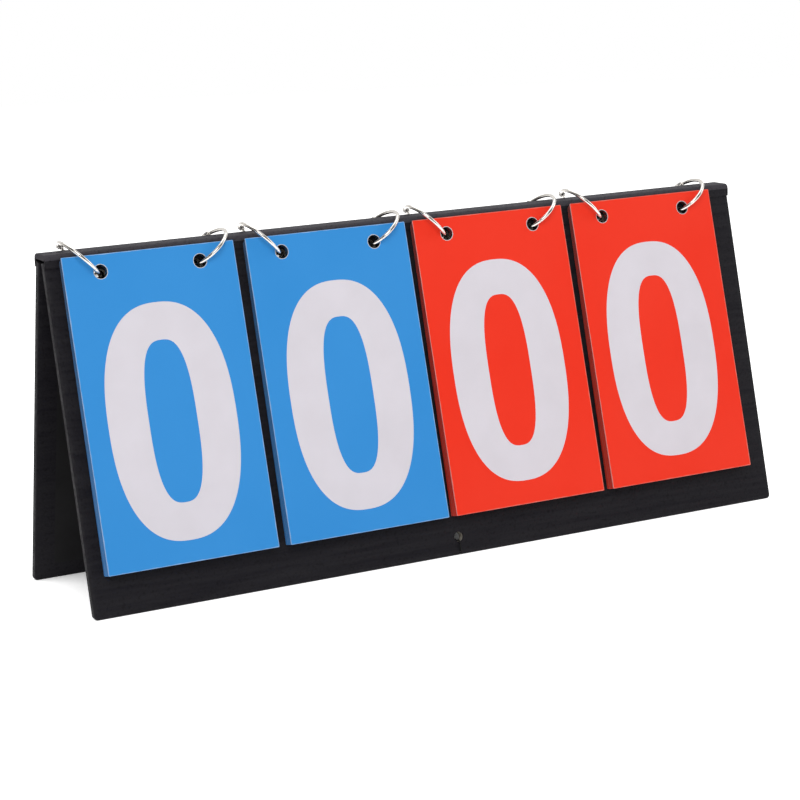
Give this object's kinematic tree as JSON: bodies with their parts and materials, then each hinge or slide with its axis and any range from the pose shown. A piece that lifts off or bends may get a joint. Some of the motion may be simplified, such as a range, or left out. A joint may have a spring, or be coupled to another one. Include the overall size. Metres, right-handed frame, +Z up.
{
  "type": "tabletop flip scoreboard",
  "caption": "Tent-shaped tabletop scoreboard: covered leaves folding at a spine, with stacks of number cards that flip over on split wire rings.",
  "frame": {"origin": "on the table under the middle of the spine, midway along the board", "axes": "+Z up, +X along the spine to the right of someone reading the score, -Y towards that reader"},
  "size_m": [0.38, 0.0876, 0.1688],
  "materials": {
    "cover": "satin",
    "greyboard": "matte",
    "lining": "matte",
    "card_blue": "satin",
    "card_red": "satin",
    "ring_wire": "polished",
    "ring_pin": "satin",
    "cord": "matte"
  },
  "bodies": {
    "spine": {"spine_board": "greyboard", "spine_cover": "cover", "spine_lining": "lining", "front_crease": "cover", "back_crease": "cover", "stay_cord": "cord"},
    "front_leaf": {"front_board": "greyboard", "front_cover": "cover", "front_lining": "lining", "front_cord_loop": "cord", "stack_a_next_card": "card_blue", "stack_a_rear_cards": "card_blue", "stack_b_next_card": "card_blue", "stack_b_rear_cards": "card_blue", "stack_c_next_card": "card_red", "stack_c_rear_cards": "card_red", "stack_d_next_card": "card_red", "stack_d_rear_cards": "card_red"},
    "back_leaf": {"back_board": "greyboard", "back_cover": "cover", "back_lining": "lining", "back_cord_loop": "cord"},
    "card_a": {"stack_a_front_card": "card_blue"},
    "ring_a_left": {"ring_a_left_fixed_half": "ring_wire", "ring_a_left_pin": "ring_pin"},
    "ring_a_left_free": {"ring_a_left_free_half": "ring_wire"},
    "ring_a_right": {"ring_a_right_fixed_half": "ring_wire", "ring_a_right_pin": "ring_pin"},
    "ring_a_right_free": {"ring_a_right_free_half": "ring_wire"},
    "card_b": {"stack_b_front_card": "card_blue"},
    "ring_b_left": {"ring_b_left_fixed_half": "ring_wire", "ring_b_left_pin": "ring_pin"},
    "ring_b_left_free": {"ring_b_left_free_half": "ring_wire"},
    "ring_b_right": {"ring_b_right_fixed_half": "ring_wire", "ring_b_right_pin": "ring_pin"},
    "ring_b_right_free": {"ring_b_right_free_half": "ring_wire"},
    "card_c": {"stack_c_front_card": "card_red"},
    "ring_c_left": {"ring_c_left_fixed_half": "ring_wire", "ring_c_left_pin": "ring_pin"},
    "ring_c_left_free": {"ring_c_left_free_half": "ring_wire"},
    "ring_c_right": {"ring_c_right_fixed_half": "ring_wire", "ring_c_right_pin": "ring_pin"},
    "ring_c_right_free": {"ring_c_right_free_half": "ring_wire"},
    "card_d": {"stack_d_front_card": "card_red"},
    "ring_d_left": {"ring_d_left_fixed_half": "ring_wire", "ring_d_left_pin": "ring_pin"},
    "ring_d_left_free": {"ring_d_left_free_half": "ring_wire"},
    "ring_d_right": {"ring_d_right_fixed_half": "ring_wire", "ring_d_right_pin": "ring_pin"},
    "ring_d_right_free": {"ring_d_right_free_half": "ring_wire"}
  },
  "joints": [
    {"name": "front_fold", "type": "hinge", "parent": "spine", "child": "front_leaf", "pos_m": [0, -0.0055, 0.1604], "axis": [-1, 0, 0], "range_deg": [-13, 0], "deforming": ["front_crease", "back_crease", "stay_cord"]},
    {"name": "back_fold", "type": "hinge", "parent": "spine", "child": "back_leaf", "pos_m": [0, 0.0055, 0.1604], "axis": [1, 0, 0], "range_deg": [-13, 0]},
    {"name": "flip_a", "type": "hinge", "parent": "front_leaf", "child": "card_a", "pos_m": [-0.1401, -0.00222, 0.19522], "axis": [-1, 0, 0], "range_deg": [0, 333.45]},
    {"name": "swing_a_left", "type": "hinge", "parent": "spine", "child": "ring_a_left", "pos_m": [-0.16485, 0, 0.1528], "axis": [0, 1, 0], "range_deg": [0, 45]},
    {"name": "open_a_left", "type": "hinge", "parent": "ring_a_left", "child": "ring_a_left_free", "pos_m": [-0.17724, 0.00772, 0.16519], "axis": [-0.7071, 0, -0.7071], "range_deg": [0, 45]},
    {"name": "swing_a_right", "type": "hinge", "parent": "spine", "child": "ring_a_right", "pos_m": [-0.11535, 0, 0.1528], "axis": [0, -1, 0], "range_deg": [0, 51]},
    {"name": "open_a_right", "type": "hinge", "parent": "ring_a_right", "child": "ring_a_right_free", "pos_m": [-0.10276, 0.00879, 0.16299], "axis": [-0.6293, 0, 0.7771], "range_deg": [0, 45]},
    {"name": "flip_b", "type": "hinge", "parent": "front_leaf", "child": "card_b", "pos_m": [-0.04835, -0.00222, 0.19522], "axis": [-1, 0, 0], "range_deg": [0, 333.45]},
    {"name": "swing_b_left", "type": "hinge", "parent": "spine", "child": "ring_b_left", "pos_m": [-0.0731, 0, 0.1528], "axis": [0, 1, 0], "range_deg": [0, 45]},
    {"name": "open_b_left", "type": "hinge", "parent": "ring_b_left", "child": "ring_b_left_free", "pos_m": [-0.08549, 0.00772, 0.16519], "axis": [-0.7071, 0, -0.7071], "range_deg": [0, 45]},
    {"name": "swing_b_right", "type": "hinge", "parent": "spine", "child": "ring_b_right", "pos_m": [-0.0236, 0, 0.1528], "axis": [0, -1, 0], "range_deg": [0, 51]},
    {"name": "open_b_right", "type": "hinge", "parent": "ring_b_right", "child": "ring_b_right_free", "pos_m": [-0.0129, 0.01011, 0.16147], "axis": [-0.6293, 0, 0.7771], "range_deg": [0, 45]},
    {"name": "flip_c", "type": "hinge", "parent": "front_leaf", "child": "card_c", "pos_m": [0.04165, -0.00222, 0.19522], "axis": [-1, 0, 0], "range_deg": [0, 333.45]},
    {"name": "swing_c_left", "type": "hinge", "parent": "spine", "child": "ring_c_left", "pos_m": [0.0169, 0, 0.1528], "axis": [0, 1, 0], "range_deg": [0, 45]},
    {"name": "open_c_left", "type": "hinge", "parent": "ring_c_left", "child": "ring_c_left_free", "pos_m": [0.00451, 0.00772, 0.16519], "axis": [-0.7071, 0, -0.7071], "range_deg": [0, 45]},
    {"name": "swing_c_right", "type": "hinge", "parent": "spine", "child": "ring_c_right", "pos_m": [0.0664, 0, 0.1528], "axis": [0, -1, 0], "range_deg": [0, 51]},
    {"name": "open_c_right", "type": "hinge", "parent": "ring_c_right", "child": "ring_c_right_free", "pos_m": [0.0771, 0.01011, 0.16147], "axis": [-0.6293, 0, 0.7771], "range_deg": [0, 45]},
    {"name": "flip_d", "type": "hinge", "parent": "front_leaf", "child": "card_d", "pos_m": [0.13285, -0.00222, 0.19522], "axis": [-1, 0, 0], "range_deg": [0, 333.45]},
    {"name": "swing_d_left", "type": "hinge", "parent": "spine", "child": "ring_d_left", "pos_m": [0.1081, 0, 0.1528], "axis": [0, 1, 0], "range_deg": [0, 45]},
    {"name": "open_d_left", "type": "hinge", "parent": "ring_d_left", "child": "ring_d_left_free", "pos_m": [0.09571, 0.00772, 0.16519], "axis": [-0.7071, 0, -0.7071], "range_deg": [0, 45]},
    {"name": "swing_d_right", "type": "hinge", "parent": "spine", "child": "ring_d_right", "pos_m": [0.1576, 0, 0.1528], "axis": [0, -1, 0], "range_deg": [0, 51]},
    {"name": "open_d_right", "type": "hinge", "parent": "ring_d_right", "child": "ring_d_right_free", "pos_m": [0.17019, 0.00879, 0.16299], "axis": [-0.6293, 0, 0.7771], "range_deg": [0, 45]}
  ],
  "couplings": [
    {"joint": "back_fold", "follows": "front_fold", "ratio": 1}
  ]
}
